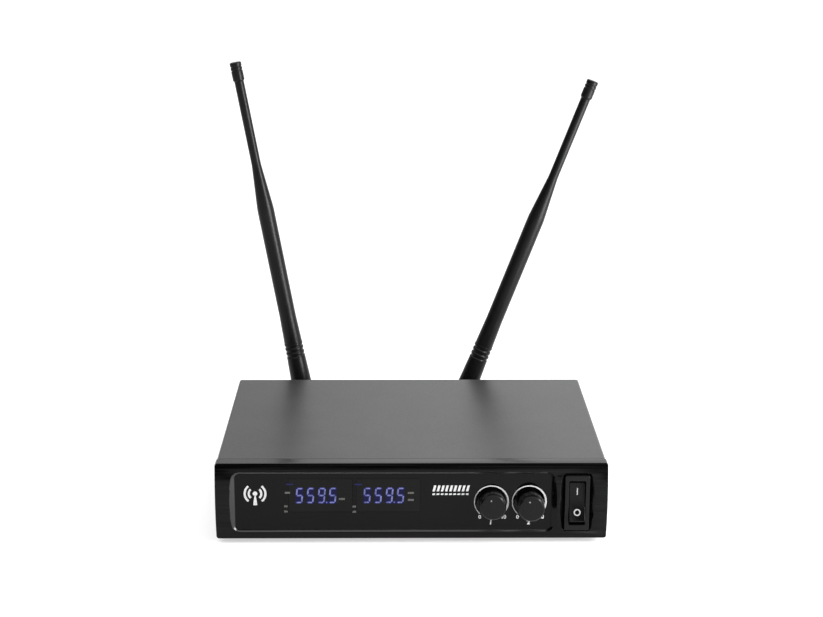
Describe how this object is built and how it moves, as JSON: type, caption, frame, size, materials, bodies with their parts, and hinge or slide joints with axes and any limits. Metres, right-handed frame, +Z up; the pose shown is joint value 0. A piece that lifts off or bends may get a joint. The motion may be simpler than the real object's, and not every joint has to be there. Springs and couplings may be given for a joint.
{
  "type": "wireless microphone receiver",
  "caption": "Half-width tabletop wireless microphone receiver with a display window, volume knobs, a rocker switch and swivelling rod antennas on its rear.",
  "frame": {"origin": "on the surface that the feet stand on, under the middle of the case", "axes": "+X to the viewer's right along the front panel, +Y from the front panel to the rear wall, +Z up"},
  "size_m": [0.224, 0.1933, 0.241],
  "materials": {
    "cover_paint": "satin powder coat, charcoal black",
    "chassis_steel": "satin black paint",
    "black_screws": "black zinc",
    "foot_rubber": "matt",
    "panel_anodised": "black anodised, brushed along its length",
    "zinc_steel": "zinc plated",
    "window_gloss": "polished black, printed from behind",
    "lens_smoked": "smoked acrylic",
    "display_plastic": "dark grey",
    "digit_light": "lit blue",
    "circuit_board": "green solder mask",
    "pot_metal": "plain",
    "shaft_metal": "turned",
    "knob_plastic": "fine satin",
    "switch_plastic": "fine satin",
    "rocker_plastic": "semi-gloss",
    "plunger_plastic": "natural nylon",
    "contact_brass": "plain",
    "shield_tin": "tinned",
    "chip_plastic": "dark",
    "wire_sheath": "plain",
    "coax_sheath": "brown",
    "connector_plastic": "satin black",
    "pin_nickel": "nickel plated",
    "xlr_shell": "satin black",
    "bnc_nickel": "nickel plated",
    "ptfe": "white",
    "antenna_rubber": "satin",
    "antenna_cap": "satin"
  },
  "bodies": {
    "case": {"chassis": "chassis_steel", "top_cover": "cover_paint", "case_screws": "black_screws", "feet": "foot_rubber", "front_panel": "panel_anodised", "inner_screws": "zinc_steel", "window_plate": "window_gloss", "display_lenses": "lens_smoked", "display_a": "display_plastic", "display_b": "display_plastic", "digit_segments": "digit_light", "display_board": "circuit_board", "pot_a": "pot_metal", "pot_b": "pot_metal", "pot_nuts": "zinc_steel", "switch_housing": "switch_plastic", "switch_terminals": "contact_brass", "main_board": "circuit_board", "standoffs": "contact_brass", "receiver_modules": "shield_tin", "board_parts": "chip_plastic", "wiring_loom": "wire_sheath", "antenna_leads": "coax_sheath", "dc_inlet": "connector_plastic", "dc_pin": "pin_nickel", "xlr_shell_a": "xlr_shell", "xlr_shell_b": "xlr_shell", "xlr_inserts": "connector_plastic", "xlr_pins": "contact_brass", "line_jack": "connector_plastic", "line_jack_nut": "zinc_steel", "line_jack_contacts": "pin_nickel", "bnc_jack_left": "bnc_nickel", "bnc_jack_right": "bnc_nickel", "bnc_nuts": "bnc_nickel", "bnc_insulators": "ptfe", "bnc_contacts": "contact_brass"},
    "knob_a": {"knob_a": "knob_plastic", "shaft_a": "shaft_metal"},
    "knob_b": {"knob_b": "knob_plastic", "shaft_b": "shaft_metal"},
    "rocker": {"rocker": "rocker_plastic", "rocker_plunger": "plunger_plastic"},
    "contact_arm": {"contact_arm": "contact_brass"},
    "antenna_left": {"elbow_left": "bnc_nickel", "plug_insulator_left": "ptfe", "radiator_left": "contact_brass", "antenna_base_left": "antenna_rubber", "antenna_whip_left": "antenna_rubber", "antenna_tip_left": "antenna_cap"},
    "antenna_right": {"elbow_right": "bnc_nickel", "plug_insulator_right": "ptfe", "radiator_right": "contact_brass", "antenna_base_right": "antenna_rubber", "antenna_whip_right": "antenna_rubber", "antenna_tip_right": "antenna_cap"},
    "bayonet_left": {"bayonet_ring_left": "bnc_nickel"},
    "bayonet_right": {"bayonet_ring_right": "bnc_nickel"}
  },
  "joints": [
    {"name": "volume_a", "type": "hinge", "parent": "case", "child": "knob_a", "pos_m": [0.0437, -0.08, 0.0242], "axis": [0, 1, 0], "range_deg": [-140, 140]},
    {"name": "volume_b", "type": "hinge", "parent": "case", "child": "knob_b", "pos_m": [0.0642, -0.08, 0.0242], "axis": [0, 1, 0], "range_deg": [-140, 140]},
    {"name": "power_rocker", "type": "hinge", "parent": "case", "child": "rocker", "pos_m": [0.0895, -0.073, 0.0241], "axis": [1, 0, 0], "range_deg": [0, 18]},
    {"name": "contact_tilt", "type": "hinge", "parent": "case", "child": "contact_arm", "pos_m": [0.0895, -0.0636, 0.0241], "axis": [1, 0, 0], "range_deg": [-12, 0]},
    {"name": "antenna_left_swivel", "type": "hinge", "parent": "case", "child": "antenna_left", "pos_m": [-0.066, 0.0995, 0.0245], "axis": [0, 1, 0], "range_deg": [-79.6, 20.4]},
    {"name": "antenna_right_swivel", "type": "hinge", "parent": "case", "child": "antenna_right", "pos_m": [0.0332, 0.0995, 0.0245], "axis": [0, 1, 0], "range_deg": [-31, 69]},
    {"name": "bayonet_left_turn", "type": "hinge", "parent": "case", "child": "bayonet_left", "pos_m": [-0.066, 0.086, 0.0245], "axis": [0, 1, 0], "range_deg": [0, 60]},
    {"name": "bayonet_right_turn", "type": "hinge", "parent": "case", "child": "bayonet_right", "pos_m": [0.0332, 0.086, 0.0245], "axis": [0, 1, 0], "range_deg": [0, 60]}
  ],
  "couplings": [
    {"joint": "contact_tilt", "follows": "power_rocker", "ratio": -0.6666}
  ]
}
